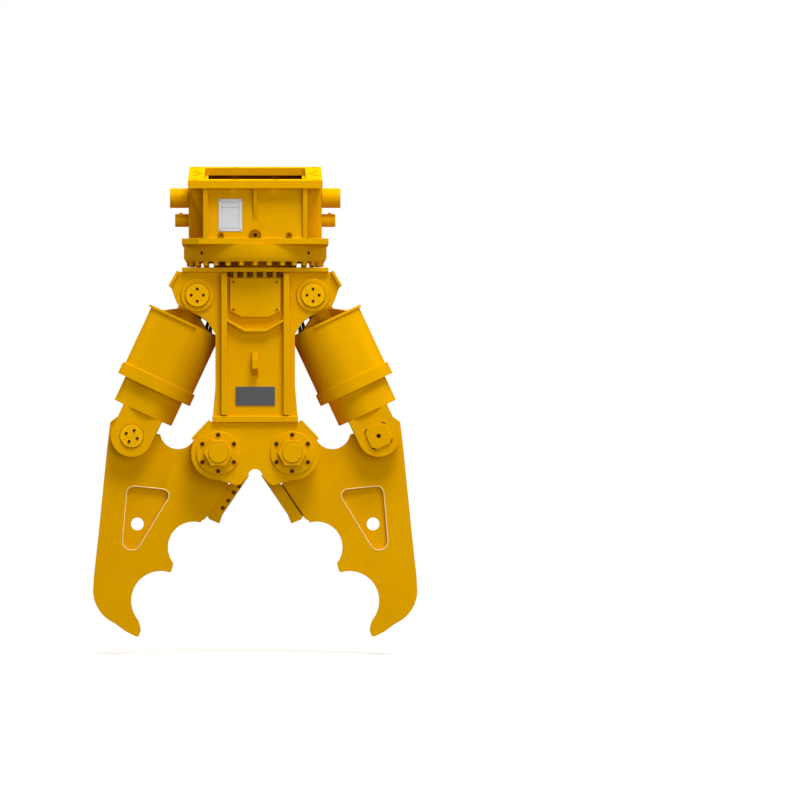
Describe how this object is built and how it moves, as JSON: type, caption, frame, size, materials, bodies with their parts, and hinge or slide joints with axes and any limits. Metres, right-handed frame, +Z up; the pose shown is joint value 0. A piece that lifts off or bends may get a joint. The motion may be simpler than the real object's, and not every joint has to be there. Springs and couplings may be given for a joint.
{
  "type": "excavator concrete crusher",
  "caption": "Hydraulic demolition crusher: bolt-on tilted flange head, slewing body, and opposed jaws with shear blades closed by guarded cylinders.",
  "frame": {"origin": "on the slew axis, level with the middle of the mounting flange's upper face", "axes": "+Z up along the slew axis, towards the excavator's arm; +X across the two jaws; +Y from the front, where the pivot nuts are, to the rear"},
  "size_m": [1.49, 0.775, 2.1756],
  "materials": {
    "paint": "satin yellow paint",
    "bare_steel": null,
    "dark_steel": "dark oiled steel",
    "name_plate": "blank plate",
    "badge": "plain dark plate"
  },
  "bodies": {
    "head": {"mounting_flange": "paint", "head_base_plate": "paint", "head_side_walls": "paint", "head_front_wall": "paint", "head_rear_plate": "paint", "head_gussets": "paint", "port_blocks": "paint", "swivel_ports": "paint", "bleed_plugs": "bare_steel", "head_cover_plate": "paint", "name_plates": "name_plate", "head_screws": "bare_steel", "foot_lugs": "paint", "swivel_housing": "paint", "slew_ring_outer": "dark_steel", "slew_ring_bolts": "bare_steel", "slew_motor": "dark_steel", "swivel_stator": "dark_steel"},
    "pinion": {"slew_pinion": "dark_steel"},
    "frame": {"turntable_plate": "paint", "slew_ring_gear": "dark_steel", "swivel_rotor": "dark_steel", "turntable_bolts": "bare_steel", "frame_plates": "paint", "column_box": "paint", "wing_end_guards": "paint", "column_ribs": "paint", "face_bars": "paint", "valve_covers": "paint", "frame_screws": "bare_steel", "lifting_lugs": "paint", "badge_plates": "badge", "pivot_plates": "paint", "shoulder_guards": "paint", "jaw_pivot_pins": "bare_steel", "pivot_flanges": "paint", "pivot_bolts": "bare_steel", "pivot_nuts": "bare_steel", "upper_pins": "paint", "upper_pin_covers": "paint"},
    "left_jaw": {"left_jaw": "paint", "left_jaw_bush": "bare_steel", "left_blade": "bare_steel", "left_blade_bolts": "dark_steel"},
    "left_rod": {"left_rod": "bare_steel", "left_piston": "dark_steel", "left_guard_sleeve": "paint"},
    "left_barrel": {"left_barrel": "paint", "left_clevis": "paint", "left_lower_pin": "paint"},
    "right_jaw": {"right_jaw": "paint", "right_jaw_bush": "bare_steel", "right_blade": "bare_steel", "right_blade_bolts": "dark_steel"},
    "right_rod": {"right_rod": "bare_steel", "right_piston": "dark_steel", "right_guard_sleeve": "paint"},
    "right_barrel": {"right_barrel": "paint", "right_clevis": "paint", "right_lower_pin": "paint"}
  },
  "joints": [
    {"name": "slew", "type": "hinge", "parent": "head", "child": "frame", "pos_m": [0, 0, -0.454], "axis": [0, 0, 1], "continuous": true},
    {"name": "pinion_spin", "type": "hinge", "parent": "head", "child": "pinion", "pos_m": [0, 0.112, -0.303], "axis": [0, 0, 1], "continuous": true},
    {"name": "left_jaw_turn", "type": "hinge", "parent": "frame", "child": "left_jaw", "pos_m": [-0.169, 0, -1.282], "axis": [0, -1, 0], "range_deg": [0, 33.8]},
    {"name": "left_cylinder_lean", "type": "hinge", "parent": "frame", "child": "left_rod", "pos_m": [-0.2645, 0, -0.5605], "axis": [0, -1, 0], "range_deg": [0, 7.5]},
    {"name": "left_cylinder_stroke", "type": "slide", "parent": "left_rod", "child": "left_barrel", "axis": [-0.4235, 0, -0.9059], "range_m": [0, 0.22]},
    {"name": "right_jaw_turn", "type": "hinge", "parent": "frame", "child": "right_jaw", "pos_m": [0.169, 0, -1.282], "axis": [0, 1, 0], "range_deg": [0, 33.8]},
    {"name": "right_cylinder_lean", "type": "hinge", "parent": "frame", "child": "right_rod", "pos_m": [0.2645, 0, -0.5605], "axis": [0, 1, 0], "range_deg": [0, 7.5]},
    {"name": "right_cylinder_stroke", "type": "slide", "parent": "right_rod", "child": "right_barrel", "axis": [0.4235, 0, -0.9059], "range_m": [0, 0.22]}
  ],
  "couplings": [
    {"joint": "pinion_spin", "follows": "slew", "ratio": 3.3333},
    {"joint": "left_cylinder_lean", "follows": "left_jaw_turn", "ratio": 0.21162},
    {"joint": "left_cylinder_stroke", "follows": "left_jaw_turn", "m_per_rad": 0.36279},
    {"joint": "right_cylinder_lean", "follows": "right_jaw_turn", "ratio": 0.21162},
    {"joint": "right_cylinder_stroke", "follows": "right_jaw_turn", "m_per_rad": 0.36279}
  ]
}
